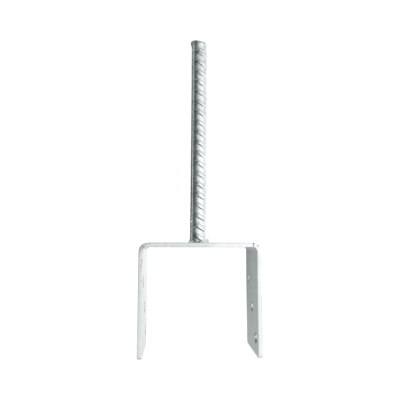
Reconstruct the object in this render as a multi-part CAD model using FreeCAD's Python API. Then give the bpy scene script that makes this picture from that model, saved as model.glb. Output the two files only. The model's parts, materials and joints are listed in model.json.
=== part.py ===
import FreeCAD, Part
import math
import os

# Timber post base: a galvanised strap folded into a U that opens downwards, and a
# ribbed reinforcing bar that stands on the middle of its web in a fillet weld.
# Millimetres, +Z up. The origin is on the ground, midway between the two leg ends.
# X runs across the gap that takes the post, Y along the width of the strap.

# ---- folded strap
gap = 101.0              # clear width between the legs
strap_t = 4.0            # strap thickness
strap_w = 60.0           # strap width, along Y
strap_h = 100.0          # leg ends to the outer face of the web
bend_in = 4.0            # inside radius of each fold
leg_corner_r = 3.0       # corners of the leg ends, in the plane of the leg
edge_r = 0.5             # softened long edges of the rolled strap

# ---- screw holes, three in each leg on a diagonal
hole_d = 9.0
hole_z = (65.0, 40.0, 15.0)        # above the leg ends
hole_y_left = (-18.0, 0.0, 18.0)   # leg at -X
hole_y_right = (18.0, 0.0, -18.0)  # leg at +X, the same pattern turned half round

# ---- ribbed bar
bar_core_d = 15.3        # round core of a nominal 16 mm bar
bar_len = 199.0          # above the web, at its highest
foot_x = -0.85           # the bar's foot stands a little off the middle of the web
bar_lean = 0.26          # degrees from upright, its top towards +X
crop_slope = 13.0        # degrees, the cropped top end falls from -X to +X
crop_edge_r = 1.0        # and its edge is rolled over
row_angle = -96.0        # middle of the front row of ribs, degrees from +X towards +Y
half_row = 51.0          # degrees from there to the rib along the bar on each side
rib_pitch = 10.0
rib_h = 0.92             # highest crest above the core
rib_wide = 3.75          # along the bar, between the middles of a rib's two flanks
rib_flank = 1.0          # along the bar, run of a flank for each mm that it rises
rib_slope = 30.7         # degrees from square to the bar, along the lower flank
rib_from = -38.0         # degrees from the middle of the row: a rib starts here as a point
rib_grown = 7.0          # is at its full width from here
rib_to = 51.0            # and ends blunt against the rib along the bar
rib_first = 183.9        # top rib's lower flank above the web, at the middle of its row
rib_count = 19
bare_top = 7.5           # the ribs are crushed away over this much of the end
seam_h = 0.7             # the four ribs that run along the bar
seam_w = 1.25
seam_top = 193.5         # above the web

# ---- weld round the foot of the bar
weld_leg = 2.9           # out along the web
weld_rise = 3.6          # up the bar

half_in = gap / 2.0
half_out = half_in + strap_t
bend_out = bend_in + strap_t
web_in = strap_h - strap_t
below = 1.5              # the bar is drawn this much long, then cut flush with the web
core_r = bar_core_d / 2.0
V = FreeCAD.Vector


def xz(x, z):
    return V(x, 0.0, z)


def quarter(cx, cz, r, a0, a1):
    """An arc in the XZ plane about (cx, cz), from a0 to a1 degrees."""
    def at(a):
        return xz(cx + r * math.cos(math.radians(a)), cz + r * math.sin(math.radians(a)))
    return Part.Arc(at(a0), at((a0 + a1) / 2.0), at(a1)).toShape()


def line(a, b):
    return Part.LineSegment(a, b).toShape()


def folded_strap():
    cx = half_out - bend_out
    cz = strap_h - bend_out
    edges = [
        line(xz(-half_out, 0), xz(-half_out, cz)),
        quarter(-cx, cz, bend_out, 180, 90),
        line(xz(-cx, strap_h), xz(cx, strap_h)),
        quarter(cx, cz, bend_out, 90, 0),
        line(xz(half_out, cz), xz(half_out, 0)),
        line(xz(half_out, 0), xz(half_in, 0)),
        line(xz(half_in, 0), xz(half_in, cz)),
        quarter(cx, cz, bend_in, 0, 90),
        line(xz(cx, web_in), xz(-cx, web_in)),
        quarter(-cx, cz, bend_in, 90, 180),
        line(xz(-half_in, cz), xz(-half_in, 0)),
        line(xz(-half_in, 0), xz(-half_out, 0)),
    ]
    face = Part.Face(Part.Wire(edges))
    body = face.extrude(V(0, strap_w, 0))
    body.translate(V(0, -strap_w / 2.0, 0))

    # the corners of the leg ends: the four edges along X at z = 0
    corners = []
    for e in body.Edges:
        b = e.BoundBox
        if b.ZMax < 0.01 and b.YLength < 0.01 and b.XLength > strap_t - 0.1:
            corners.append(e)
    body = body.makeFillet(leg_corner_r, corners)

    # the long edges of the strap, on both faces and round both folds
    longs = []
    for e in body.Edges:
        b = e.BoundBox
        on_side = b.YLength < 0.01 and abs(abs(b.YMin) - strap_w / 2.0) < 0.01
        round_corner = (b.XLength < 0.01 and b.ZMax < leg_corner_r + 0.01
                        and abs(b.YLength - leg_corner_r) < 0.01)
        leg_end = b.ZMax < 0.01 and b.XLength < 0.01
        if on_side or round_corner or leg_end:
            longs.append(e)
    body = body.makeFillet(edge_r, longs)

    for side, ys in ((-1, hole_y_left), (1, hole_y_right)):
        x0 = -half_out - 2.0 if side < 0 else half_in - 2.0
        for y, z in zip(ys, hole_z):
            drill = Part.makeCylinder(hole_d / 2.0, strap_t + 4.0, V(x0, y, z), V(1, 0, 0))
            body = body.cut(drill)
    return body


def on_bar(radius, degrees, z):
    a = math.radians(degrees)
    return V(radius * math.cos(a), radius * math.sin(a), z)


def rib_shape(v):
    """Crest height and width of a rib, v degrees past the middle of its row."""
    grown = min(max((v - rib_from) / (rib_grown - rib_from), 0.02), 1.0)
    rise = rib_h * grown ** 0.7
    if v > 15.0:
        rise *= 1.0 - 0.18 * ((v - 15.0) / (rib_to - 15.0)) ** 2
    return rise, rib_wide * (1.0 - (1.0 - grown) ** 2.2)


def crescent(middle, z_first, hand):
    """One slanted rib between two ribs along the bar: it winds down the core as it widens."""
    stations = 10
    low = 0.35
    wires = []
    for i in range(stations):
        v = rib_from + 0.6 + (rib_to - rib_from - 0.6) * i / (stations - 1)
        a = middle - hand * v
        lower = z_first - core_r * math.radians(v) * math.tan(math.radians(rib_slope))
        rise, wide = rib_shape(v)
        half = max(wide / 2.0, rib_flank * rise / 2.0 + 0.06)
        z = lower + wide / 2.0
        crest = half - rib_flank * rise / 2.0
        foot = half + rib_flank * (rise / 2.0 + low)
        wires.append(Part.makePolygon([
            on_bar(core_r - low, a, z - foot), on_bar(core_r + rise, a, z - crest),
            on_bar(core_r + rise, a, z + crest), on_bar(core_r - low, a, z + foot),
            on_bar(core_r - low, a, z - foot)]))
    return Part.makeLoft(wires, True, False, False)


def along_rib(degrees, height):
    """One straight rib along the bar, with sloping flanks."""
    wide, slim = seam_w / 2.0 + 0.55, seam_w / 2.0
    pts = [(core_r - 0.4, -wide - 0.3), (core_r + seam_h, -slim),
           (core_r + seam_h, slim), (core_r - 0.4, wide + 0.3)]
    a = math.radians(degrees)
    er, et = (math.cos(a), math.sin(a)), (-math.sin(a), math.cos(a))
    ring = [V(p * er[0] + q * et[0], p * er[1] + q * et[1], strap_h - below) for p, q in pts]
    face = Part.Face(Part.makePolygon(ring + [ring[0]]))
    return face.extrude(V(0, 0, height + below))


def ribbed_bar():
    core = Part.makeCylinder(core_r, bar_len + below, V(0, 0, strap_h - below), V(0, 0, 1))
    fall = math.tan(math.radians(crop_slope))
    high, low = strap_h + bar_len, strap_h + bar_len - 2.0 * core_r * fall
    waste = Part.Face(Part.makePolygon([
        xz(-core_r - 5.0, high + 5.0 * fall), xz(core_r + 5.0, low - 5.0 * fall),
        xz(core_r + 5.0, high + 10.0), xz(-core_r - 5.0, high + 10.0),
        xz(-core_r - 5.0, high + 5.0 * fall)])).extrude(V(0, 40, 0))
    waste.translate(V(0, -20, 0))
    core = core.cut(waste).Solids[0]
    top = [e for e in core.Edges
           if e.BoundBox.ZMin > low - 1.0 and e.BoundBox.YLength > core_r / 2.0]
    core = core.makeFillet(crop_edge_r, top)
    adds = [along_rib(row_angle + a, seam_top)
            for a in (-half_row, half_row, 180.0 - half_row, 180.0 + half_row)]
    slab = Part.makeBox(40, 40, bar_len - bare_top + below, V(-20, -20, strap_h - below))
    for k in range(rib_count):
        z_first = strap_h + rib_first - rib_pitch * k
        adds.append(crescent(row_angle, z_first, -1.0))
        adds.append(crescent(row_angle + 180.0, z_first - rib_pitch / 2.0, 1.0))
    ribs = []
    for rib in adds:
        b = rib.BoundBox
        if b.ZMax < strap_h - below + 0.5:
            continue
        if b.ZMin < strap_h - below or b.ZMax > strap_h + bar_len - bare_top:
            rib = rib.common(slab)
            if not rib.Solids:
                continue
            rib = rib.Solids[0]
        ribs.append(rib)
    bar = core.multiFuse(ribs)
    # it leans a little, and its foot is flush with the web
    bar.rotate(V(0, 0, strap_h), V(0, 1, 0), bar_lean)
    bar.translate(V(foot_x, 0, 0))
    ground = Part.makeBox(60, 60, 20, V(-30, -30, strap_h - 20))
    return bar.cut(ground)


def weld_bead(bar):
    """A ring of weld metal with a slightly hollow face, laid against the bar and web."""
    r0, z0 = core_r - 1.2, strap_h
    outer = xz(core_r + weld_leg, z0)
    toe_up = xz(core_r + weld_leg, z0 + 0.5)
    mid = xz(core_r + 0.40 * weld_leg, z0 + 0.42 * weld_rise)
    toe_bar = xz(core_r + 0.35, z0 + weld_rise)
    edges = [
        line(xz(r0, z0), outer), line(outer, toe_up),
        Part.Arc(toe_up, mid, toe_bar).toShape(),
        line(toe_bar, xz(r0, z0 + weld_rise)),
        line(xz(r0, z0 + weld_rise), xz(r0, z0)),
    ]
    ring = Part.Face(Part.Wire(edges)).revolve(V(0, 0, 0), V(0, 0, 1), 360)
    ring.translate(V(foot_x, 0, 0))
    return ring.cut(bar)


def tidy(shape, name):
    shape = shape.removeSplitter()
    solid = shape.Solids[0] if len(shape.Solids) == 1 else shape
    b = solid.optimalBoundingBox(False, False)
    print("%-12s solids %d valid %s closed %s faces %d volume %.1f  x %.2f..%.2f  y %.2f..%.2f  z %.2f..%.2f" % (
        name, len(shape.Solids), solid.isValid(), solid.isClosed(), len(solid.Faces),
        solid.Volume, b.XMin, b.XMax, b.YMin, b.YMax, b.ZMin, b.ZMax))
    return solid


os.makedirs("parts", exist_ok=True)
strap = tidy(folded_strap(), "u_bracket")
bar = tidy(ribbed_bar(), "ribbed_bar")
bead = tidy(weld_bead(bar), "weld_bead")
for name, solid in (("u_bracket", strap), ("ribbed_bar", bar), ("weld_bead", bead)):
    solid.exportStep("parts/" + name + ".step")
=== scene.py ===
import json
import math

import bpy
import numpy as np
from mathutils import Matrix, Vector
from mathutils.geometry import delaunay_2d_cdt


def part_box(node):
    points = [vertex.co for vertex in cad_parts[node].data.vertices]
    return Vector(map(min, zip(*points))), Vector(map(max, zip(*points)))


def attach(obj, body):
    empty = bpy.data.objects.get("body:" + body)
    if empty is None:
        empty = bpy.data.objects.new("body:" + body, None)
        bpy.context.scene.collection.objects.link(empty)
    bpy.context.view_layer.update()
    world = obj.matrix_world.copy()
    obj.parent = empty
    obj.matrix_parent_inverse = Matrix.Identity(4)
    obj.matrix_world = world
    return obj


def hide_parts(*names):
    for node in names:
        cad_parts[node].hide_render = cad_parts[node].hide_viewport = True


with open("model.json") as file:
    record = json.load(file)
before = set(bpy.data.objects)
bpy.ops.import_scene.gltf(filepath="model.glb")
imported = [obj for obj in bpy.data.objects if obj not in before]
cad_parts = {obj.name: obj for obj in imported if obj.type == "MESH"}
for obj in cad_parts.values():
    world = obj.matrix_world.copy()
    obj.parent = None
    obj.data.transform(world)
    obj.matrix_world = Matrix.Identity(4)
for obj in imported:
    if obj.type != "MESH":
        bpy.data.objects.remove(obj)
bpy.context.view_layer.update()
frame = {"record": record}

MM = 0.001

# ------------------------------------------------------------------ sizes, from the frame
lo, hi = (np.array(c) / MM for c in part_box("u_bracket"))
HALF_OUT = float(hi[0])                 # outer face of a leg, from the middle
WIDE = float(hi[1])                     # half the strap's width
TOP = float(hi[2])                      # web's upper face
bar_lo, bar_hi = (np.array(c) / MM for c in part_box("ribbed_bar"))
BAR_TOP = float(bar_hi[2])
weld_lo, weld_hi = (np.array(c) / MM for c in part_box("weld_bead"))
WELD_R = float(weld_hi[0])
WELD_H = float(weld_hi[2] - weld_lo[2])
T = 4.0                                 # strap thickness
R_MID = 6.0                             # fold radius at mid thickness
CORE = 7.65                             # bar core radius

HOLES = []                              # (side, y, z, r) in millimetres
for m in frame["record"]["mounts"]:
    if m["kind"] == "bore":
        x, y, z = (c / MM for c in m["pos_m"])
        HOLES.append((1 if x > 0 else -1, y, z, m["dims"]["r_mm"]))


# ------------------------------------------------------------------ small helpers
def lattice(ix, iy, iz, seed):
    h = (ix.astype(np.uint32) * np.uint32(374761393)
         + iy.astype(np.uint32) * np.uint32(668265263)
         + iz.astype(np.uint32) * np.uint32(2147483647)
         + np.uint32((seed * 974634777) & 0xFFFFFFFF))
    h = (h ^ (h >> np.uint32(13))) * np.uint32(1274126177)
    h = (h ^ (h >> np.uint32(16))) * np.uint32(2246822519)
    h = h ^ (h >> np.uint32(15))
    return h.astype(np.float64) / 2147483647.5 - 1.0


def noise(p, size, seed=0):
    """Smooth noise from -1 to 1 at points p, with lumps about size across."""
    q = np.asarray(p, float) / size + 500.0
    i = np.floor(q).astype(np.int64)
    f = q - i
    f = f * f * f * (f * (f * 6 - 15) + 10)
    out = np.zeros(len(q))
    for dx in (0, 1):
        wx = f[:, 0] if dx else 1 - f[:, 0]
        for dy in (0, 1):
            wy = f[:, 1] if dy else 1 - f[:, 1]
            for dz in (0, 1):
                wz = f[:, 2] if dz else 1 - f[:, 2]
                out += wx * wy * wz * lattice(i[:, 0] + dx, i[:, 1] + dy, i[:, 2] + dz, seed)
    return out


def fbm(p, size, seed=0, octaves=3):
    out, amp, total = 0.0, 1.0, 0.0
    for k in range(octaves):
        out = out + amp * noise(p, size / 2 ** k, seed + 17 * k)
        total += amp
        amp *= 0.5
    return out / total


def step(a, b, x):
    t = np.clip((x - a) / (b - a), 0.0, 1.0)
    return t * t * (3 - 2 * t)


def make(name, verts_mm, faces, attrs=None, smooth=True):
    mesh = bpy.data.meshes.new(name)
    mesh.from_pydata((np.asarray(verts_mm) * MM).tolist(), [], [tuple(int(i) for i in f) for f in faces])
    mesh.validate()
    mesh.update()
    if smooth:
        mesh.shade_smooth()
    for key, values in (attrs or {}).items():
        a = mesh.attributes.new(key, "FLOAT", "POINT")
        a.data.foreach_set("value", np.asarray(values, np.float32))
    obj = bpy.data.objects.new(name, mesh)
    bpy.context.scene.collection.objects.link(obj)
    return obj


def weld_normals(obj):
    n = np.zeros(len(obj.data.vertices) * 3)
    obj.data.vertex_normals.foreach_get("vector", n)
    return n.reshape(-1, 3)


def coords(obj):
    c = np.zeros(len(obj.data.vertices) * 3)
    obj.data.vertices.foreach_get("co", c)
    return c.reshape(-1, 3) / MM


def move(obj, shift_mm):
    """Shifts every vertex of obj by shift_mm, an N x 3 array in millimetres."""
    c = (coords(obj) + shift_mm) * MM
    obj.data.vertices.foreach_set("co", c.astype(np.float32).ravel())
    obj.data.update()


def pimples(p, spots):
    """Sum of small rounded bumps; each spot is (x, y, z, radius, height) in millimetres."""
    out = np.zeros(len(p))
    for x, y, z, r, h in spots:
        near = np.where(np.abs(p[:, 2] - z) < 3 * r)[0]
        d2 = ((p[near] - (x, y, z)) ** 2).sum(1) / (r * r)
        out[near] += h * np.exp(-d2 * 1.4)
    return out


# ------------------------------------------------------------------ the folded strap
FLAT = HALF_OUT - T / 2 - R_MID         # web: half length of its flat
ARC = R_MID * math.pi / 2
LEG = TOP - T / 2 - R_MID               # leg: height of its flat
HALF_S = FLAT + ARC + LEG
CORNER = 3.0
RIM = 0.42                              # rounding of the outline
HOLE_RIM = 0.45


def fold(s, y, h):
    """From the flat pattern (s along the strap, y across, h above mid thickness) to the folded strap."""
    side = np.where(s < 0, -1.0, 1.0)
    a = np.abs(s)
    phi = np.clip((a - FLAT) / R_MID, 0, math.pi / 2)
    run = np.maximum(a - FLAT - ARC, 0)
    # folding squeezes the inner face out sideways and draws the outer face in
    bent = np.exp(-(((a - FLAT - ARC / 2) / 5.2) ** 2))
    side_y = np.clip((np.abs(y) - 17.0) / 13.0, 0, 1) ** 2 * np.sign(y)
    y = y - side_y * bent * h * 0.17
    x = np.minimum(a, FLAT) + (R_MID + h) * np.sin(phi)
    z = LEG + (R_MID + h) * np.cos(phi) - run
    return np.stack([side * x, y, z], 1)


def leg_s(side, z):
    return side * (FLAT + ARC + LEG - z)


def rounded_outline():
    """Points and outward directions of the pattern's outline, one rim inside it, anticlockwise."""
    pts, nrm = [], []
    hs, hw, r = HALF_S - RIM, WIDE - RIM, CORNER - RIM

    def run(a, b, n, normal):
        for t in np.linspace(0, 1, n, endpoint=False):
            pts.append((a[0] + (b[0] - a[0]) * t, a[1] + (b[1] - a[1]) * t))
            nrm.append(normal)

    def turn(cx, cy, a0):
        for t in np.linspace(0, 90, 9, endpoint=False):
            a = math.radians(a0 + t)
            pts.append((cx + r * math.cos(a), cy + r * math.sin(a)))
            nrm.append((math.cos(a), math.sin(a)))

    run((-hs + r, -hw), (hs - r, -hw), 640, (0, -1))
    turn(hs - r, -hw + r, -90)
    run((hs, -hw + r), (hs, hw - r), 84, (1, 0))
    turn(hs - r, hw - r, 0)
    run((hs - r, hw), (-hs + r, hw), 440, (0, 1))
    turn(-hs + r, hw - r, 90)
    run((-hs, hw - r), (-hs, -hw + r), 84, (-1, 0))
    turn(-hs + r, -hw + r, 180)
    return np.array(pts), np.array(nrm)


def strap_mesh():
    out_p, out_n = rounded_outline()
    loops = [(out_p, out_n, RIM)]
    rng = np.random.default_rng(7)
    for side, y, z, r in HOLES:
        n = 56
        a = -np.linspace(0, 2 * math.pi, n, endpoint=False)      # clockwise
        d = np.stack([np.cos(a), np.sin(a)], 1)
        c = np.array([leg_s(side, z), y])
        rr = r + 0.06 * np.sin(2 * a + side) + 0.04 * np.sin(3 * a + y)
        loops.append((c + d * (rr + HOLE_RIM)[:, None], -d, HOLE_RIM))

    # the points of one face: loops, support rings, and a grid between them
    pts = [lp[0] for lp in loops]
    edges, start = [], 0
    for lp in pts:
        n = len(lp)
        edges += [(start + i, start + (i + 1) % n) for i in range(n)]
        start += n
    n_loop = start
    extra = []
    for inset in (0.35, 0.8, 1.4):
        extra.append((out_p - out_n * inset)[:: 1 if inset < 1 else 2])
    for side, y, z, r in HOLES:
        c = np.array([leg_s(side, z), y])
        for grow, n in ((0.3, 56), (0.65, 50), (1.1, 44), (1.7, 40)):
            a = np.linspace(0, 2 * math.pi, n, endpoint=False) + grow
            extra.append(c + np.stack([np.cos(a), np.sin(a)], 1) * (r + HOLE_RIM + grow))
    for s, y, r in PATCHES:                 # denser where a small mark needs it
        k = int(r / 0.3)
        gy, gx = np.meshgrid(np.arange(-k, k + 1), np.arange(-k, k + 1))
        g = np.stack([gx.ravel(), gy.ravel()], 1) * 0.3
        g = g[(g ** 2).sum(1) <= r * r] + (s, y)
        extra.append(g)
    s_lines = np.concatenate([np.arange(-HALF_S, -FLAT - ARC, 0.95),
                              np.linspace(-FLAT - ARC, -FLAT, 21)[:-1],
                              np.linspace(-FLAT, FLAT, 92)[:-1],
                              np.linspace(FLAT, FLAT + ARC, 21)[:-1],
                              np.arange(FLAT + ARC, HALF_S, 0.95)])
    y_lines = np.linspace(-WIDE, WIDE, 59)
    gs, gy = np.meshgrid(s_lines, y_lines)
    grid = np.stack([gs.ravel(), gy.ravel()], 1)
    keep = (np.abs(grid[:, 0]) < HALF_S - RIM - 1.9) & (np.abs(grid[:, 1]) < WIDE - RIM - 1.9)
    for side, y, z, r in HOLES:
        d = np.hypot(grid[:, 0] - leg_s(side, z), grid[:, 1] - y)
        keep &= d > r + HOLE_RIM + 2.1
    for s, y, r in PATCHES:
        keep &= np.hypot(grid[:, 0] - s, grid[:, 1] - y) > r + 0.2
    grid = grid[keep]
    extra = np.concatenate(extra)
    ok = (np.abs(extra[:, 0]) < HALF_S - RIM - 0.2) & (np.abs(extra[:, 1]) < WIDE - RIM - 0.2)
    cx, cy = HALF_S - CORNER, WIDE - CORNER
    over = (np.abs(extra[:, 0]) > cx) & (np.abs(extra[:, 1]) > cy)
    ok &= ~(over & (np.hypot(np.abs(extra[:, 0]) - cx, np.abs(extra[:, 1]) - cy) > CORNER - RIM - 0.2))
    for side, y, z, r in HOLES:
        ok &= np.hypot(extra[:, 0] - leg_s(side, z), extra[:, 1] - y) > r + HOLE_RIM + 0.2
    extra = extra[ok]
    allp = np.concatenate(pts + [extra, grid])
    found = delaunay_2d_cdt([Vector(p) for p in allp], edges, [], 0, 1e-5)
    v2 = np.array([tuple(v) for v in found[0]])
    tris = np.array([f for f in found[2]], int)
    origin = [o[0] if o else -1 for o in found[3]]
    cen = v2[tris].mean(1)
    hs, hw, r0 = HALF_S - RIM, WIDE - RIM, CORNER - RIM
    inside = (np.abs(cen[:, 0]) < hs) & (np.abs(cen[:, 1]) < hw)
    over = (np.abs(cen[:, 0]) > cx) & (np.abs(cen[:, 1]) > cy)
    inside &= ~(over & (np.hypot(np.abs(cen[:, 0]) - cx, np.abs(cen[:, 1]) - cy) > r0 - 0.02))
    for (lp, nm, rim), (side, y, z, r) in zip(loops[1:], HOLES):
        a = np.arctan2(cen[:, 1] - y, cen[:, 0] - leg_s(side, z))
        edge = r + 0.06 * np.sin(2 * a + side) + 0.04 * np.sin(3 * a + y) + HOLE_RIM
        inside &= np.hypot(cen[:, 0] - leg_s(side, z), cen[:, 1] - y) > edge - 0.012
    tris = tris[inside]
    e1 = v2[tris[:, 1]] - v2[tris[:, 0]]
    e2 = v2[tris[:, 2]] - v2[tris[:, 0]]
    flip = (e1[:, 0] * e2[:, 1] - e1[:, 1] * e2[:, 0]) < 0
    tris[flip] = tris[flip][:, ::-1]
    index = {o: i for i, o in enumerate(origin) if 0 <= o < n_loop}

    n2 = len(v2)
    S = [v2[:, 0], v2[:, 0]]
    Y = [v2[:, 1], v2[:, 1]]
    H = [np.full(n2, T / 2), np.full(n2, -T / 2)]
    EDGE = [np.zeros(n2), np.zeros(n2)]
    faces = [tuple(t) for t in tris] + [tuple(t[::-1] + n2) for t in tris]
    used = 2 * n2
    start = 0
    for li, (lp, nm, rim) in enumerate(loops):
        n = len(lp)
        first = [index[start + i] for i in range(n)]
        last = [index[start + i] + n2 for i in range(n)]
        start += n
        stations = []
        for q in (22.5, 45.0, 67.5, 90.0):
            a = math.radians(q)
            stations.append((rim * math.sin(a), T / 2 - rim * (1 - math.cos(a))))
        for t in np.linspace(T / 2 - rim, -T / 2 + rim, 9)[1:-1]:
            stations.append((rim, t))
        for q in (90.0, 67.5, 45.0, 22.5):
            a = math.radians(q)
            stations.append((rim * math.sin(a), -T / 2 + rim * (1 - math.cos(a))))
        rows = [first]
        for k, (d, h) in enumerate(stations):
            p = lp + nm * d
            if li == 0:
                # a rolled side edge is a little full; a sheared leg end has a drawn upper
                # half and a broken lower half, softened by the zinc
                end = np.abs(nm[:, 0])
                full = 0.10 * (1 - (h / (T / 2)) ** 2) * (1 - end)
                shear = -end * 0.14 * step(-0.2, 1.2, h) * (d >= rim - 1e-6)
                p = p + nm * (full + shear)[:, None]
            else:
                p = p + nm * (0.10 * (h / (T / 2)) ** 2 - 0.05)
            S.append(p[:, 0])
            Y.append(p[:, 1])
            H.append(np.full(n, h))
            EDGE.append(np.full(n, 1.0 if li == 0 else 2.0))
            rows.append([used + i for i in range(n)])
            used += n
        rows.append(last)
        for a, b in zip(rows[:-1], rows[1:]):
            for i in range(n):
                j = (i + 1) % n
                faces.append((a[i], b[i], b[j], a[j]))
    s, y, h = np.concatenate(S), np.concatenate(Y), np.concatenate(H)
    return s, y, h, np.concatenate(EDGE), faces


def streak(x, y, z0, z1, r, h):
    """A row of spots from z0 to z1, thinning downwards."""
    n = max(2, int(abs(z1 - z0) / (0.7 * r)) + 1)
    return [(x, y, z0 + (z1 - z0) * t, r * (1 - 0.4 * t), h * (1 - 0.3 * t)) for t in np.linspace(0, 1, n)]


IN, OUT = HALF_OUT - T, HALF_OUT
# dull flecks and streaks left in the zinc, and painted shade along the rounded front edges and at the bends: (x, y, z,
# radius, strength)
DULL_AND_SHADE = (streak(46.9, -WIDE, 99.9, 96.0, 0.52, 1.5) + streak(IN, -19.0, 86.2, 82.4, 0.8, 0.75)
        + streak(IN, 1.4, 38.6, 34.6, 0.9, 0.35) + streak(IN, -16.0, 13.4, 6.2, 1.05, 0.55)
        + streak(IN, -28.6, 19.0, 2.0, 0.9, 0.22) + streak(-51.4, -WIDE, 85.6, 81.2, 0.5, 0.35)
        + streak(-52.1, -WIDE, 80.4, 76.6, 0.5, 0.40) + streak(-50.2, -WIDE, 68.6, 66.2, 0.5, 0.40)
        + streak(53.7, -WIDE, 52.0, 1.0, 0.42, 0.16) + streak(-53.9, -WIDE, 3.4, 0.4, 0.9, 0.22)
        + [(IN, -28.6, 85.4, 0.8, 0.45), (IN, -4.9, 85.1, 0.9, 0.30), (IN, 1.3, 67.8, 0.9, 0.40),
           (IN, -13.8, 17.4, 1.1, 0.55), (48.6, -WIDE, 94.5, 0.8, 1.2), (51.3, -WIDE, 97.7, 0.55, 1.0), (50.8, -WIDE, 97.1, 0.5, 0.9),
           (50.3, -WIDE, 96.5, 0.5, 0.9), (53.5, -WIDE, 82.2, 0.6, 0.35), (-50.2, -WIDE, 96.1, 0.9, 0.8),
           (-52.5, -WIDE, 75.3, 0.5, 0.5), (-50.8, -WIDE, 66.8, 0.6, 0.5), (-51.6, -WIDE, 66.6, 0.5, 0.4),
           (53.2, -WIDE, 1.0, 0.8, 0.30), (-39.0, -WIDE, 96.2, 1.2, 0.3), (-30.5, -WIDE, 98.6, 0.9, 0.2),
           (10.6, -WIDE + 0.3, 99.8, 0.6, 0.5), (-11.4, -WIDE, 97.8, 0.7, 0.25), (-10.2, -WIDE, 96.9, 0.6, 0.25)])
for x in np.arange(-45.0, 45.5, 0.7):       # painted shade along the web's rounded lower front edge
    DULL_AND_SHADE.append((x, -WIDE + 0.1, 96.4 if x < 8 else 95.7, 0.55, 0.24 + 0.08 * math.sin(x * 0.7)))
for side, y, z, r in HOLES:                 # painted shade round the right leg's holes, above and below, and low in their walls
    if side > 0:
        low = {65: 0.10, 40: 0.50, 15: 0.70}[round(z)]
        DULL_AND_SHADE += [(IN + d, y + r * 0.80, z - r * 0.75, 2.3, low) for d in (0.3, 2.0, 3.6)]
        DULL_AND_SHADE += [(IN + d, y + r * 0.75, z + r * 0.85, 1.7, 0.35 + low * 0.4) for d in (0.3, 2.0, 3.6)]
# drops of zinc that stayed on the strap: (x, y, z, radius, height)
DROPS = [(IN, -17.7, 43.0, 1.2, 0.18), (-IN, -22.0, 78.0, 1.0, 0.35), (IN, -25.5, 5.0, 1.4, 0.22),
         (IN, 10.0, 3.2, 1.6, 0.25), (-43.7, -WIDE, 98.6, 0.9, 0.12), (OUT, 12.0, 22.0, 1.5, 0.22),
         (OUT, -8.0, 55.0, 1.2, 0.18), (-OUT, 6.0, 8.0, 1.7, 0.25), (-OUT, -14.0, 48.0, 1.2, 0.18),
         (22.0, 14.0, TOP, 1.3, 0.18), (-31.0, -6.0, TOP, 1.5, 0.20), (18.0, -11.0, TOP - T, 1.8, 0.30)]
for side, y, z, r in HOLES:                 # one on the rim of each hole
    if side > 0:
        DROPS.append((IN, y + r * (1.45 if z > 60 else 1.12), z + 0.5, 1.45, 0.80))
PATCHES = [(leg_s(1, 84.3), -19.0, 2.2), (leg_s(1, 10.0), -16.0, 4.0), (leg_s(1, 36.6), 1.4, 2.4)]
s_, y_, h_, edge_, faces_ = strap_mesh()
strap = make("u_bracket_zinc", fold(s_, y_, h_), faces_, {"rim": edge_})
at_ = coords(strap)
# the right leg is faintly cupped and twisted: its far edge stands in at the top, out at the foot
twist_ = 0.0068 * at_[:, 1] + 0.00026 * at_[:, 1] ** 2
twist_ = twist_ * step(99.0, 89.0, at_[:, 2]) * (1.25 * step(-14.0, 74.0, at_[:, 2]) - 0.25)
twist_ += 0.40 * np.clip((-19.0 - at_[:, 1]) / 11.0, 0, 1) ** 2 * step(98.0, 86.0, at_[:, 2]) * step(-30.0, 60.0, at_[:, 2])   # near edge rolls in
move(strap, np.stack([-twist_ * step(42.0, 50.0, at_[:, 0]), 0 * twist_, 0 * twist_], 1))
at_ = coords(strap)
dull_and_shade_ = np.clip(pimples(at_, DULL_AND_SHADE), 0, 1.0)
# painted shade on the right leg's inner face: darker towards its far edge and higher up, and in a band just below the
# web, away from the front edge
inner_ = step(IN - 5.0, IN - 1.5, at_[:, 0]) * step(IN + 1.6, IN + 0.4, at_[:, 0]) * step(99.0, 95.0, at_[:, 2])
far_ = np.clip((at_[:, 1] + 14.0) / 44.0, 0, 1) ** 1.2 * (0.30 * step(0.0, 70.0, at_[:, 2]) + 0.02)
under_ = 0.18 * step(86.0, 95.0, at_[:, 2]) * step(-WIDE + 1.0, -WIDE + 7.0, at_[:, 1])
dull_and_shade_ = np.clip(dull_and_shade_ + inner_ * (far_ + under_), 0, 1.0)
for side, y, z, r in HOLES:                 # painted shade at the rims of the left leg's holes, above and below
    if side < 0:
        out_ = np.hypot(at_[:, 1] - y, at_[:, 2] - z)
        near_ = np.exp(-((out_ - r - 0.45) / 0.75) ** 2) * ((at_[:, 2] - z) / np.maximum(out_, 0.1)) ** 2
        dull_and_shade_ = np.maximum(dull_and_shade_, 0.85 * near_ * step(-IN + 1.2, -IN + 0.4, at_[:, 0]) * step(-IN - 1.6, -IN - 0.6, at_[:, 0]))
rise_ = 0.036 * fbm(at_, 16.0, 11, 2) + 0.010 * fbm(at_, 4.5, 13, 2) + pimples(at_, DROPS) - 0.05 * dull_and_shade_
rise_ = rise_ * step(0.0, 2.0, at_[:, 2]) + np.minimum(rise_, 0) * (1 - step(0.0, 2.0, at_[:, 2]))
on_plane = step(0.0, 1.2, at_[:, 2])        # the leg ends keep their height
push_ = weld_normals(strap) * rise_[:, None]
push_[:, 2] *= on_plane
move(strap, push_)
# painted light: the front edge is drawn brighter from the bar to the foot of the right leg
painted_light_edge_ = step(2.0, 22.0, at_[:, 0]) * step(-WIDE + 1.6, -WIDE + 0.5, at_[:, 1]) * (0.6 + 0.4 * step(84.0, 97.0, at_[:, 2]))
for key_, value_ in (("crease", dull_and_shade_), ("painted_light_edge", painted_light_edge_)):
    mark_ = strap.data.attributes.new(key_, "FLOAT", "POINT")
    mark_.data.foreach_set("value", value_.astype(np.float32))


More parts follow.
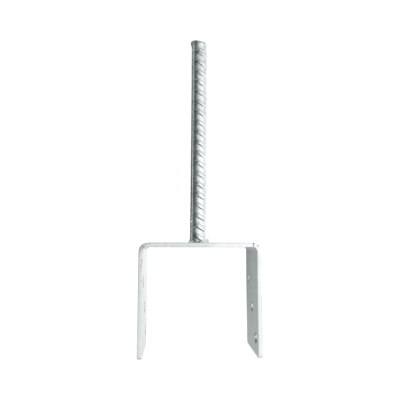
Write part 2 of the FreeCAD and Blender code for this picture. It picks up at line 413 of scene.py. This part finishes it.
# ------------------------------------------------------------------ the ribbed bar
PITCH = 10.0
RIB_Z = 273.87                          # lower flank of one front rib, at the middle of its row
SLOPE = 0.594
RIB_H = 0.92
WIDE_RIB = 3.75                         # between the middles of a rib's two flanks, along the bar
ROW = -96.0                             # middle of the front row, degrees from +X towards +Y
HALF_ROW = 51.0                         # a rib along the bar stands this far each side of it
CROP = 0.17


def wrapped(a):
    return (np.asarray(a) + 180.0) % 360.0 - 180.0


def row_offset(u):
    """How far a rib drops below its own middle, u degrees round from the middle of the front row."""
    v = np.where(np.abs(wrapped(u)) <= 90.0, wrapped(u), -wrapped(u - 180.0))
    lin = np.abs(v)
    bent = np.where(lin < 44.0, lin, 44.0 + 6.0 * (1 - (1 - np.clip((lin - 44.0) / 12.0, 0, 1)) ** 2))
    return CORE * SLOPE * np.radians(bent) * np.sign(v)


def rib_height(p, u, z):
    """Height of the slanted ribs, the painted shade along their roots, and how near a rib is."""
    w = wrapped(u)
    front = np.abs(w) <= 90.0
    v = np.where(front, w, -wrapped(u - 180.0))
    seed = np.where(front, 0.0, 40.0)
    wander = 0.22 * fbm(p, 9.0, 61, 2) + 0.16 * fbm(p, 2.6, 66, 2)
    level = z + CORE * SLOPE * np.radians(v) - RIB_Z + np.where(front, 0.0, PITCH / 2) + wander
    grown = np.clip((v + 36.0) / 43.0, 0.0, 1.0)
    wide = WIDE_RIB * (1 - (1 - grown) ** 2.2)
    k = np.floor((level + 3.1) / PITCH)
    low = level - k * PITCH                 # above this rib's lower flank
    own = np.sin(k * 2.4 + 1.0 + seed) * 0.6 + np.sin(k * 5.1 + seed) * 0.4
    wide = wide * (1.0 + 0.10 * own)
    tall = RIB_H * grown ** 1.05 * (1.0 - 0.18 * np.clip((v - 15.0) / 36.0, 0, 1) ** 2) * (1.0 + 0.14 * own)
    tall = tall * (1 - step(HALF_ROW - 3.0, HALF_ROW + 2.5, np.abs(v)))
    tall = np.where(v < -36.0, 0.0, tall)
    tilt = math.cos(math.atan(SLOPE))
    a, b = low * tilt, (wide - low) * tilt
    late = step(12.0, 42.0, v)
    sharp, soft = 0.62 + 0.50 * late, 1.15  # run of the lower and of the upper flank
    ta, tb = np.clip(a / sharp + 0.5, 0, 1), np.clip(b / soft + 0.5, 0, 1)
    body = ta * ta * (3 - 2 * ta) * tb * tb * (3 - 2 * tb)
    crown = 1.0 - 0.10 * ((a - b) / np.maximum(a + b, 0.3)) ** 2
    rib = tall * body * crown
    # the end of the bar was crushed by the shears: one rib is smeared and the last are gone
    gone = step(287.5, 291.5, z + 1.5 * np.sin(np.radians(u) + 0.6))
    smear = step(281.5, 285.0, z)
    torn = fbm(p, 2.6, 63) * 0.75 + 0.25 * fbm(p, 1.1, 64)
    rib = rib * (1 - gone) * (1 - smear * (0.35 + 0.9 * torn))
    # painted shade along the rib roots and at the ribs' left ends, weaker to the right, where more light falls, and on
    # the back row
    root = 1.45 * np.exp(-((a + sharp / 2 - 0.05) / 0.42) ** 2) * (1 + 0.5 * np.exp(-((v + 22.0) / 10.0) ** 2)) + 0.45 * np.exp(-((b + soft / 2 + 0.10) / 0.34) ** 2)
    root = root * np.clip(tall / 0.6, 0, 1) * (1 - 0.70 * late)
    tip = np.exp(-((v + 24.0) / 11.0) ** 2 - ((low - 0.3) / 1.2) ** 2) * (0.8 + 0.2 * own)
    dark = np.where(front, 1.35 + 0.65 * np.exp(-((z - 228.0) / 34.0) ** 2), 0.35)
    root = (root + dark * tip) * (1 - gone)
    return rib, v, low, root


def seam_height(u, z):
    out = np.zeros(len(u))
    for centre in (-HALF_ROW, HALF_ROW, 180.0 - HALF_ROW, 180.0 + HALF_ROW):
        across = np.radians(wrapped(u - centre)) * CORE
        h = 0.62 + 0.55 - np.abs(across)
        t = np.clip(h / 0.55, 0, 1)
        out = np.maximum(out, 0.60 * t * t * (3 - 2 * t))
    fade = 1 - 0.55 * step(291.5, 297.5, z)
    return out * fade * (1 + 0.06 * np.sin(z * 0.9) + 0.05 * np.sin(z * 0.37))


def lean(z):
    """The bar is not quite straight nor quite square to the web: how far its middle is off in x."""
    t = np.clip((250.0 - z) / 150.0, 0, None)
    return -0.90 * (t - 0.10 * np.sin(np.clip(t, 0, 1) * math.pi))


def section(p, u, z):
    """Radius, painted root shade and rib height of the bar's skin at u degrees and height z."""
    rib, v, d, root = rib_height(p, u, z)
    seam = seam_height(u, z)
    r = CORE + np.maximum(rib, seam) + 0.25 * np.minimum(rib, seam)
    return r, root * (1 - np.clip(seam / 0.5, 0, 1)), rib


def crop_z(x):
    return 297.5 - CROP * x


def hump(x):
    return np.exp(-((x + 4.3) / 2.0) ** 2) - 0.35 * np.exp(-((x + 0.4) / 1.8) ** 2) + 0.35 * np.exp(-((x - 4.0) / 1.8) ** 2)


# blobs of zinc on the bar, and dull pits in it: (degrees round, z, radius, height)
BLOBS = ((-148.0, 120.3, 0.75, 0.45), (-124.0, 115.0, 0.70, 0.38), (-131.0, 214.6, 0.5, 0.25),
         (-70.0, 108.5, 0.6, 0.30), (-100.0, 107.2, 0.6, 0.28), (40.0, 150.0, 0.8, 0.35),
         (110.0, 205.0, 0.7, 0.35), (75.0, 122.0, 0.9, 0.4), (20.0, 255.0, 0.6, 0.3))
PITS = ((-88.5, 118.9, 0.75, -0.16), (-99.0, 131.6, 0.7, -0.14), (-97.0, 185.0, 0.5, -0.12),
        (-116.0, 162.0, 0.7, -0.12), (-120.0, 175.4, 0.7, -0.14), (-66.0, 288.2, 0.9, -0.22),
        (-80.0, 286.2, 0.7, -0.20), (-95.0, 288.0, 0.8, -0.16))


for t in np.linspace(0, 1, 9):              # two smears left by the crushed ribs
    PITS += ((-104.0 + 44.0 * t, 289.6 - 1.6 * t * t, 0.50, -0.10), (-108.0 + 36.0 * t, 286.6 - 2.4 * t, 0.48, -0.10))


def on_skin(spots):
    out = []
    for deg, z, r, h in spots:
        a = math.radians(deg)
        out.append((8.2 * math.cos(a), 8.2 * math.sin(a), z, r, h))
    return out


def bar_mesh():
    cols, rows = 196, 456
    u = np.arange(cols) / cols * 360.0
    w = np.linspace(99.6, 298.6, rows)
    U, W = np.meshgrid(u, w)
    amount = step(100, 114, W) * (1 - step(272, 297, W))
    Z = W - row_offset(U) * amount
    th = np.radians(ROW + U)
    # the last rows close up to the cropped end
    x_rim, y_rim = CORE * np.cos(th[-1]), CORE * np.sin(th[-1])
    lip = np.exp(-((wrapped(np.degrees(th[-1]) + 172.0)) / 30.0) ** 2)
    ragged = 0.16 * fbm(np.stack([x_rim, y_rim, 0 * x_rim], 1), 4.0, 71)
    top = crop_z(x_rim) - 2.1 + 0.75 * lip + 0.55 * hump(x_rim) + ragged
    z0 = 262.0
    share = np.clip((Z - z0) / (Z[-1] - z0), 0, 1)
    Z = np.where(Z > z0, z0 + (top - z0) * share, Z)
    skin = np.stack([CORE * np.cos(th), CORE * np.sin(th), Z], 2).reshape(-1, 3)
    r, root, rib = (a.reshape(rows, cols) for a in section(skin, U.ravel(), Z.ravel()))
    deg = wrapped(np.degrees(th))
    # the shears squeezed the end and flattened its front a little
    pinch = step(286.0, 294.5, Z)
    r = r - pinch * (0.18 + 0.14 * np.cos(2 * (th - math.radians(10))))
    r = r - 0.30 * np.exp(-((deg + 66.0) / 17.0) ** 2 - ((Z - 292.4) / 2.4) ** 2)
    # a tongue of metal dragged over the side by the shears
    tongue = step(289.5, 297.6, Z) ** 1.5 * np.exp(-((wrapped(deg + 172.0)) / 30.0) ** 2)
    r = r + 1.15 * tongue
    # uneven zinc: slow waves, small lumps, blobs and pits
    r = r + (0.062 * fbm(skin, 4.2, 81, 2) + 0.052 * fbm(skin, 2.1, 83, 3)).reshape(rows, cols)
    r = r + (pimples(skin * (8.2 / CORE, 8.2 / CORE, 1.0), on_skin(BLOBS))
             + pimples(skin * (8.2 / CORE, 8.2 / CORE, 1.0), on_skin(PITS))).reshape(rows, cols)
    pitted = pimples(skin * (8.2 / CORE, 8.2 / CORE, 1.0),
                     [(a, b, c, d * 1.1, 0.9) for a, b, c, d, e in on_skin(PITS)]).reshape(rows, cols)
    # painted shade on the last rows below the cut end
    top_rim_shade = 0.45 * step(-1.2, 0.2, Z - Z[-1])
    marks_first = np.clip(np.maximum(root * (1 - pinch) + pitted, top_rim_shade), 0, 1.4)
    p = np.stack([r * np.cos(th), r * np.sin(th), Z], 2)
    verts = [p.reshape(-1, 3)]
    marks = [marks_first.ravel()]
    high = [rib.ravel()]
    faces = []
    for i in range(rows - 1):
        a = i * cols
        b = a + cols
        for j in range(cols):
            k = (j + 1) % cols
            faces.append((a + j, a + k, b + k, b + j))
    n = rows * cols
    prev = (rows - 1) * cols
    ring = p[-1]
    rad = np.hypot(ring[:, 0], ring[:, 1])
    ang = np.arctan2(ring[:, 1], ring[:, 0])
    roll_r = 1.45 - 1.05 * lip + 0.12 * ragged / 0.16
    target = ring[:, 2] + 2.05 - 0.90 * lip
    for k in range(1, 8):
        t = k / 7.0
        rr = rad - roll_r * (0.35 * t + 0.65 * (1 - math.sqrt(max(0.0, 1 - t * t))))
        zz = ring[:, 2] + (target - ring[:, 2]) * (0.55 * t + 0.45 * math.sin(t * math.pi / 2))
        verts.append(np.stack([rr * np.cos(ang), rr * np.sin(ang), zz], 1))
        # painted shade on the rolled edge of the cut end
        marks.append(0.50 * np.ones(cols))
        high.append(np.zeros(cols))
        for j in range(cols):
            m = (j + 1) % cols
            faces.append((prev + j, prev + m, n + m, n + j))
        prev = n
        n += cols
    edge = verts[-1]
    for k in range(1, 20):
        f = 1 - k / 20.0
        x, y = edge[:, 0] * f, edge[:, 1] * f
        rr = np.hypot(x, y) / 6.3
        # cropped by shears: one half smooth, one half torn, a low step between them
        half = step(-0.6, 0.5, y + 0.25 * x + 0.8 * np.sin(x * 0.9))
        rough = (0.16 * fbm(np.stack([x, y, 0 * x], 1), 1.5, 91)
                 + 0.10 * fbm(np.stack([x, y, 0 * x + 9], 1), 0.7, 92))
        zz = (crop_z(x) + 0.5 * hump(x) * (1 - f ** 3) + (edge[:, 2] - crop_z(edge[:, 0])) * f ** 3
              - 0.30 * half * np.clip(1 - rr ** 4, 0, 1) + rough * (0.25 + 0.9 * half) * (1 - f ** 6))
        verts.append(np.stack([x, y, zz], 1))
        marks.append(0.4 * np.exp(-((half - 0.5) / 0.3) ** 2))
        high.append(np.zeros(cols))
        for j in range(cols):
            m = (j + 1) % cols
            faces.append((prev + j, prev + m, n + m, n + j))
        prev = n
        n += cols
    verts.append(np.array([[0, 0, crop_z(0.0) - 0.2]]))
    marks.append(np.zeros(1))
    high.append(np.zeros(1))
    for j in range(cols):
        faces.append((prev + j, prev + (j + 1) % cols, n))
    n += 1
    # foot, inside the weld
    verts.append(np.array([[0, 0, 99.6]]))
    marks.append(np.zeros(1))
    high.append(np.zeros(1))
    for j in range(cols):
        faces.append(((j + 1) % cols, j, n))
    v = np.concatenate(verts)
    # foot flat, at one height
    v[:cols, 2] = 99.6
    v[:, 0] += lean(v[:, 2])
    return v, faces, np.concatenate(marks), np.concatenate(high)


v_, f_, crease_, rib_ = bar_mesh()
bar = make("ribbed_bar_zinc", v_, f_, {"crease": crease_, "rib": rib_})


# ------------------------------------------------------------------ the weld bead
def weld_mesh():
    cols, steps = 220, 26
    a = np.arange(cols) / cols * 2 * math.pi
    deg = np.degrees(a)
    deg = np.where(deg > 180, deg - 360, deg)

    def lump(centre, wide):
        d = (deg - centre + 180) % 360 - 180
        return np.exp(-(d / wide) ** 2)

    base = np.stack([9 * np.cos(a), 9 * np.sin(a), 0 * a], 1)
    reach = (2.45 + 0.24 * fbm(base, 5.0, 31) - 0.10 * lump(-175, 28) + 0.55 * lump(-8, 26)
             + 0.2 * lump(60, 25) - 0.25 * lump(-40, 14))
    rise = (2.65 + 0.22 * fbm(base, 4.0, 33) + 1.25 * lump(-175, 26) - 1.35 * lump(-113, 20)
            - 0.60 * lump(-80, 22) + 0.75 * lump(-8, 24) + 0.4 * lump(100, 30))
    full = 0.12 + 0.16 * fbm(base, 6.0, 35) - 0.45 * lump(-172, 32) + 1.25 * lump(-6, 26)
    rows_p, mark = [], []
    inner = CORE - 0.75
    ripple_at = a * 8.6 / 1.25 * 2 * math.pi / (2 * math.pi)
    for k in range(steps + 1):
        t = k / steps
        # from the bar (t = 0) down to the web (t = 1), a curve that bulges by full
        x0, z0 = CORE - 0.15, rise
        x1, z1 = CORE + reach, -0.05 + 0 * rise
        cx = CORE + 0.25 + (reach - 0.25) * (0.22 + 0.72 * np.clip(full, 0, 1.45)) + 0.25 * np.minimum(full, 0)
        cz = rise * (0.16 + 0.80 * np.clip(full, 0, 1.45))
        r = (1 - t) ** 2 * x0 + 2 * t * (1 - t) * cx + t * t * x1
        z = (1 - t) ** 2 * z0 + 2 * t * (1 - t) * cz + t * t * z1
        wave = np.sin(a * 44 + 2.2 * t * t + 1.5 * fbm(base, 3.0, 37))
        amp = 0.07 * math.sin(math.pi * t) ** 0.6
        r = r + amp * wave
        z = z + amp * wave
        # the bead laps over cold at the toe and leaves a crease on the web
        lap = math.exp(-((t - 0.93) / 0.06) ** 2) * 0.22
        r = r + lap * (0.6 + 0.5 * fbm(base, 3.0, 39))
        rows_p.append(np.stack([r * np.cos(a), r * np.sin(a), z + 100.0], 1))
        # painted shade at the toe on the web and, weaker, where the bead meets the bar
        mark.append(np.full(cols, math.exp(-((t - 1.0) / 0.05) ** 2) + 0.5 * math.exp(-(t / 0.05) ** 2)))
    r1 = np.hypot(rows_p[-1][:, 0], rows_p[-1][:, 1])
    rows_p.append(np.stack([(r1 - 0.25) * np.cos(a), (r1 - 0.25) * np.sin(a), 0 * a + 99.75], 1))
    mark.append(np.ones(cols))
    rows_p.append(np.stack([inner * np.cos(a), inner * np.sin(a), 0 * a + 99.75], 1))
    mark.append(np.ones(cols))
    rows_p.append(np.stack([inner * np.cos(a), inner * np.sin(a), rise + 100.0 - 0.3], 1))
    mark.append(np.ones(cols))
    n = len(rows_p)
    faces = []
    for i in range(n):
        p, q = i * cols, ((i + 1) % n) * cols
        for j in range(cols):
            m = (j + 1) % cols
            faces.append((p + m, p + j, q + j, q + m))
    v = np.concatenate(rows_p)
    v[:, 0] += float(lean(np.array(101.0)))
    return v, faces, np.concatenate(mark)


v_, f_, toe_ = weld_mesh()
bead = make("weld_bead_zinc", v_, f_, {"crease": toe_})


# ------------------------------------------------------------------ hot-dip zinc
class Nodes:
    """A short way to write a node tree: n.add(type, inputs..., property=...) returns the node."""

    def __init__(self, tree):
        self.tree = tree

    def add(self, kind, inputs=None, **props):
        node = self.tree.nodes.new(kind)
        for key, value in props.items():
            setattr(node, key, value)
        for key, value in (inputs or {}).items():
            socket = node.inputs[key]
            if isinstance(value, bpy.types.NodeSocket):
                self.tree.links.new(value, socket)
            else:
                socket.default_value = value
        return node

    def math(self, op, a, b=0.0, c=0.0, clamp=False):
        node = self.add("ShaderNodeMath", {0: a, 1: b, 2: c}, operation=op)
        node.use_clamp = clamp
        return node.outputs[0]

    def mapped(self, value, a, b, c, d, smooth=False):
        node = self.add("ShaderNodeMapRange", {"Value": value, "From Min": a, "From Max": b,
                                               "To Min": c, "To Max": d})
        if smooth:
            node.interpolation_type = "SMOOTHSTEP"
        return node.outputs[0]

    def mix(self, fac, a, b, blend="MIX"):
        node = self.add("ShaderNodeMix", data_type="RGBA", blend_type=blend)
        for key, value in (("Factor", fac), ("A", a), ("B", b)):
            socket = [s for s in node.inputs if s.name == key and s.enabled][0]
            if isinstance(value, bpy.types.NodeSocket):
                self.tree.links.new(value, socket)
            else:
                socket.default_value = value
        return [s for s in node.outputs if s.enabled][0]


def zinc(name, tone, rough, spangle, fine, crease, relief=1.0, ash_and_shade_tone=(0.26, 0.285, 0.285, 1.0), metal=0.96):
    mat = bpy.data.materials.new(name)
    mat.use_nodes = True
    tree = mat.node_tree
    tree.nodes.clear()
    n = Nodes(tree)
    at = n.add("ShaderNodeTexCoord").outputs["Object"]
    warp = n.add("ShaderNodeTexNoise", {"Vector": at, "Scale": 220.0, "Detail": 2.0})
    bent = n.add("ShaderNodeVectorMath", {0: warp.outputs["Color"], 1: (0.5, 0.5, 0.5)}, operation="SUBTRACT")
    bent = n.add("ShaderNodeVectorMath", {0: bent.outputs[0], "Scale": 0.0028}, operation="SCALE")
    here = n.add("ShaderNodeVectorMath", {0: at, 1: bent.outputs[0]}, operation="ADD").outputs[0]
    # spangle: frozen zinc grains, each a little lighter or duller than the next
    cells = n.add("ShaderNodeTexVoronoi", {"Vector": here, "Scale": 150.0, "Randomness": 1.0}, feature="F1")
    grain = n.add("ShaderNodeSeparateColor", {"Color": cells.outputs["Color"]})
    small = n.add("ShaderNodeTexVoronoi", {"Vector": here, "Scale": 430.0, "Randomness": 1.0}, feature="F1")
    grain2 = n.add("ShaderNodeSeparateColor", {"Color": small.outputs["Color"]})
    cloud = n.add("ShaderNodeTexNoise", {"Vector": at, "Scale": 48.0, "Detail": 3.0, "Roughness": 0.55}).outputs["Fac"]
    mottle = n.add("ShaderNodeTexNoise", {"Vector": at, "Scale": 620.0, "Detail": 3.0, "Roughness": 0.6}).outputs["Fac"]
    dust = n.add("ShaderNodeTexNoise", {"Vector": at, "Scale": 2600.0, "Detail": 2.0}).outputs["Fac"]
    mark = n.add("ShaderNodeAttribute", attribute_name="crease").outputs["Fac"]

    lift = n.mapped(grain.outputs["Red"], 0, 1, -0.5, 0.5)
    lift = n.math("MULTIPLY", lift, spangle)
    lift2 = n.math("MULTIPLY", n.mapped(grain2.outputs["Green"], 0, 1, -0.5, 0.5), spangle * 0.6)
    lift3 = n.math("MULTIPLY", n.mapped(mottle, 0.3, 0.7, -0.5, 0.5), fine)
    lift4 = n.math("MULTIPLY", n.mapped(cloud, 0.3, 0.7, -0.5, 0.5), 0.10 * relief)
    total = n.math("ADD", n.math("ADD", lift, lift2), n.math("ADD", lift3, lift4))
    total = n.math("ADD", total, 1.0)
    # painted light: brighter along the strap's front edge
    total = n.math("MULTIPLY", total, n.math("MULTIPLY_ADD", n.add("ShaderNodeAttribute", attribute_name="painted_light_edge").outputs["Fac"], 0.15, 1.0))
    colour = n.mix(1.0, tone, n.add("ShaderNodeCombineColor", {"Red": total, "Green": total, "Blue": total}).outputs[0], "MULTIPLY")
    # painted shade in the corners, creases and along rounded edges, with some dull grey ash, drawn by the crease
    # attribute
    ash_and_shade = n.math("MULTIPLY", mark, n.mapped(mottle, 0.3, 0.7, 0.6, 1.1), clamp=True)
    colour = n.mix(n.math("MULTIPLY", ash_and_shade, crease), colour, ash_and_shade_tone)
    rgh = n.math("ADD", rough, n.math("MULTIPLY", n.mapped(grain.outputs["Blue"], 0, 1, -0.5, 0.5), spangle * 0.9))
    rgh = n.math("ADD", rgh, n.math("MULTIPLY", n.mapped(mottle, 0.3, 0.7, -0.5, 0.5), 0.10 * relief))
    rim = n.add("ShaderNodeAttribute", attribute_name="rim").outputs["Fac"]
    rgh = n.math("ADD", rgh, n.math("MULTIPLY", n.mapped(rim, 0.0, 1.0, 0.0, 1.0), 0.10))
    rgh = n.math("ADD", rgh, n.math("MULTIPLY", mark, 0.12), clamp=True)
    b1 = n.add("ShaderNodeBump", {"Height": mottle, "Strength": 0.30 * relief, "Distance": 0.00022})
    b2 = n.add("ShaderNodeBump", {"Height": dust, "Strength": 0.22 * relief, "Distance": 0.00006, "Normal": b1.outputs[0]})
    grains = n.add("ShaderNodeTexVoronoi", {"Vector": here, "Scale": 150.0, "Randomness": 1.0}, feature="SMOOTH_F1")
    b3 = n.add("ShaderNodeBump", {"Height": grains.outputs["Distance"], "Strength": 0.16 * relief, "Distance": 0.0005, "Normal": b2.outputs[0]})
    shader = n.add("ShaderNodeBsdfPrincipled", {"Base Color": colour, "Metallic": metal, "Roughness": rgh,
                                                "Normal": b3.outputs[0]})
    out = n.add("ShaderNodeOutputMaterial", {"Surface": shader.outputs[0]})
    return mat


TONE = (0.748, 0.768, 0.765, 1.0)
strap.data.materials.append(zinc("galvanised_strap_zinc", TONE, 0.29, 0.040, 0.020, 1.0, 0.25,
                                 (0.17, 0.185, 0.185, 1.0)))
bar.data.materials.append(zinc("galvanised_bar_zinc", (0.768, 0.800, 0.800, 1.0), 0.25, 0.09, 0.20, 1.0, 1.6,
                               (0.19, 0.21, 0.21, 1.0)))
bead.data.materials.append(zinc("galvanised_weld_zinc", TONE, 0.32, 0.05, 0.14, 0.8))

for piece, node, slot in ((strap, "u_bracket", "galvanised_strap"),
                          (bar, "ribbed_bar", "galvanised_bar"),
                          (bead, "weld_bead", "galvanised_weld")):
    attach(piece, "root")
    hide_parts(node)


# ------------------------------------------------------------------ stage, light and camera
def unlit(obj):
    """Seen by the camera only: it neither lights nor shades the object."""
    obj.visible_diffuse = False
    obj.visible_glossy = False
    obj.visible_transmission = False
    obj.visible_volume_scatter = False
    obj.visible_shadow = False


def glow(name, colour, strength, diffuse=None):
    mat = bpy.data.materials.new(name)
    mat.use_nodes = True
    tree = mat.node_tree
    tree.nodes.clear()
    n = Nodes(tree)
    shader = n.add("ShaderNodeEmission", {"Color": colour, "Strength": strength}).outputs[0]
    if diffuse is not None:
        other = n.add("ShaderNodeBsdfDiffuse", {"Color": diffuse}).outputs[0]
        shader = n.add("ShaderNodeAddShader", {0: shader, 1: other}).outputs[0]
    n.add("ShaderNodeOutputMaterial", {"Surface": shader})
    return mat


def dome():
    rings, cols, radius = 24, 48, 6.0
    verts = [(0, 0, radius)]
    for i in range(1, rings):
        a = math.pi * i / rings
        for j in range(cols):
            b = 2 * math.pi * j / cols
            verts.append((radius * math.sin(a) * math.cos(b), radius * math.sin(a) * math.sin(b), radius * math.cos(a)))
    verts.append((0, 0, -radius))
    faces = [(0, 1 + (j + 1) % cols, 1 + j) for j in range(cols)]
    for i in range(rings - 2):
        for j in range(cols):
            p, q = 1 + i * cols, 1 + (i + 1) * cols
            k = (j + 1) % cols
            faces.append((p + j, p + k, q + k, q + j))
    end = len(verts) - 1
    p = 1 + (rings - 2) * cols
    faces += [(end, p + j, p + (j + 1) % cols) for j in range(cols)]
    return make("backdrop", np.array(verts) / MM, faces)


back = dome()
back.data.materials.append(glow("backdrop_white", (1, 1, 1, 1), 1.03))
unlit(back)

size = 5.5
floor = make("floor", np.array([(-size, -size, -0.00005), (size, -size, -0.00005),
                                (size, size, -0.00005), (-size, size, -0.00005)]) / MM, [(0, 1, 2, 3)], smooth=False)
floor.data.materials.append(glow("floor_pale", (1, 1, 1, 1), 0.93, (0.2, 0.2, 0.2, 1)))
unlit(floor)

# soft studio light: wide pale panels all round with dark gaps between them, given as
# brightness by compass direction (degrees from +X towards +Y) at five heights
PANELS = (
    (-180, 0.49, 0.90, 0.08, 0.31, 0.71), (-155, 0.62, 0.90, 0.05, 0.06, 0.31),
    (-135, 0.78, 1.04, 0.05, 0.08, 0.21), (-120, 0.83, 1.17, 0.32, 0.35, 0.29),
    (-107, 0.84, 1.14, 0.77, 0.71, 0.41), (-95, 0.86, 0.99, 0.86, 0.83, 0.51),
    (-84, 0.93, 1.08, 1.26, 0.89, 0.56), (-70, 1.01, 1.02, 1.56, 1.01, 0.59),
    (-50, 1.04, 1.00, 1.69, 1.25, 0.64), (-25, 1.05, 1.06, 1.30, 1.00, 0.78),
    (0, 1.02, 1.11, 0.85, 0.74, 0.87), (30, 0.90, 1.19, 1.01, 1.12, 1.03),
    (55, 0.69, 1.11, 1.33, 1.17, 1.07), (72, 0.54, 0.92, 1.42, 0.95, 1.07),
    (84, 0.44, 0.62, 1.04, 0.77, 1.07), (94, 0.38, 0.33, 0.46, 0.57, 1.06),
    (105, 0.36, 0.62, 0.49, 0.27, 1.05), (125, 0.38, 0.96, 0.06, 0.06, 1.05),
    (150, 0.44, 0.94, 0.06, 0.18, 1.08), (180, 0.49, 0.90, 0.08, 0.31, 0.71),
)
HEIGHTS = (-0.90, -0.35, 0.0, 0.35, 0.90)
world = bpy.data.worlds.new("studio")
bpy.context.scene.world = world
world.use_nodes = True
world.node_tree.nodes.clear()
wn = Nodes(world.node_tree)
toward = wn.add("ShaderNodeSeparateXYZ", {"Vector": wn.add("ShaderNodeTexCoord").outputs["Generated"]})
compass = wn.math("MULTIPLY_ADD", wn.math("ARCTAN2", toward.outputs["Y"], toward.outputs["X"]), 1 / (2 * math.pi), 0.5)


def panel_ramp(column):
    node = wn.add("ShaderNodeValToRGB", {"Fac": compass})
    stops = node.color_ramp.elements
    while len(stops) > 1:
        stops.remove(stops[-1])
    for i, row in enumerate(PANELS):
        place = (row[0] + 180) / 360.0
        if i == 0:
            stops[0].position = place
            stop = stops[0]
        else:
            stop = stops.new(place)
        stop.color = (row[column] / 2,) * 3 + (1,)
    return node.outputs["Color"]


light = panel_ramp(1)
for i in range(1, 5):
    share = wn.mapped(toward.outputs["Z"], HEIGHTS[i - 1], HEIGHTS[i], 0.0, 1.0)
    light = wn.mix(share, light, panel_ramp(i + 1))
# the dark gaps are a little greener than the panels
level = wn.mapped(wn.add("ShaderNodeRGBToBW", {"Color": light}).outputs[0], 0.05, 0.42, 0.0, 1.0)
tint = wn.mix(level, (0.86, 1.0, 0.99, 1), (0.99, 1.0, 1.0, 1))
shine = wn.add("ShaderNodeBackground", {"Color": wn.mix(1.0, light, tint, "MULTIPLY"), "Strength": 2.0})
wn.add("ShaderNodeOutputWorld", {"Surface": shine.outputs[0]})

cam_data = bpy.data.cameras.new("camera")
cam = bpy.data.objects.new("camera", cam_data)
bpy.context.scene.collection.objects.link(cam)
cam_data.sensor_width = 36.0
cam_data.sensor_fit = "HORIZONTAL"
cam_data.lens = 38.217
cam_data.clip_start = 0.01
cam_data.clip_end = 50.0
fwd = Vector((0.05711978, 0.99365489, 0.09688808)).normalized()
roll = math.radians(0.12)
right = Vector((0.99835185, -0.05738978, 0.0))
right = (right - fwd * right.dot(fwd)).normalized()
up = right.cross(fwd)
r2 = right * math.cos(roll) + up * math.sin(roll)
u2 = up * math.cos(roll) - right * math.sin(roll)
m = Matrix(((r2.x, u2.x, -fwd.x, -0.022359), (r2.y, u2.y, -fwd.y, -0.406058),
            (r2.z, u2.z, -fwd.z, 0.101171), (0, 0, 0, 1)))
cam.matrix_world = m
bpy.context.scene.camera = cam
bpy.context.scene.view_settings.view_transform = "Standard"
bpy.context.scene.view_settings.look = "None"
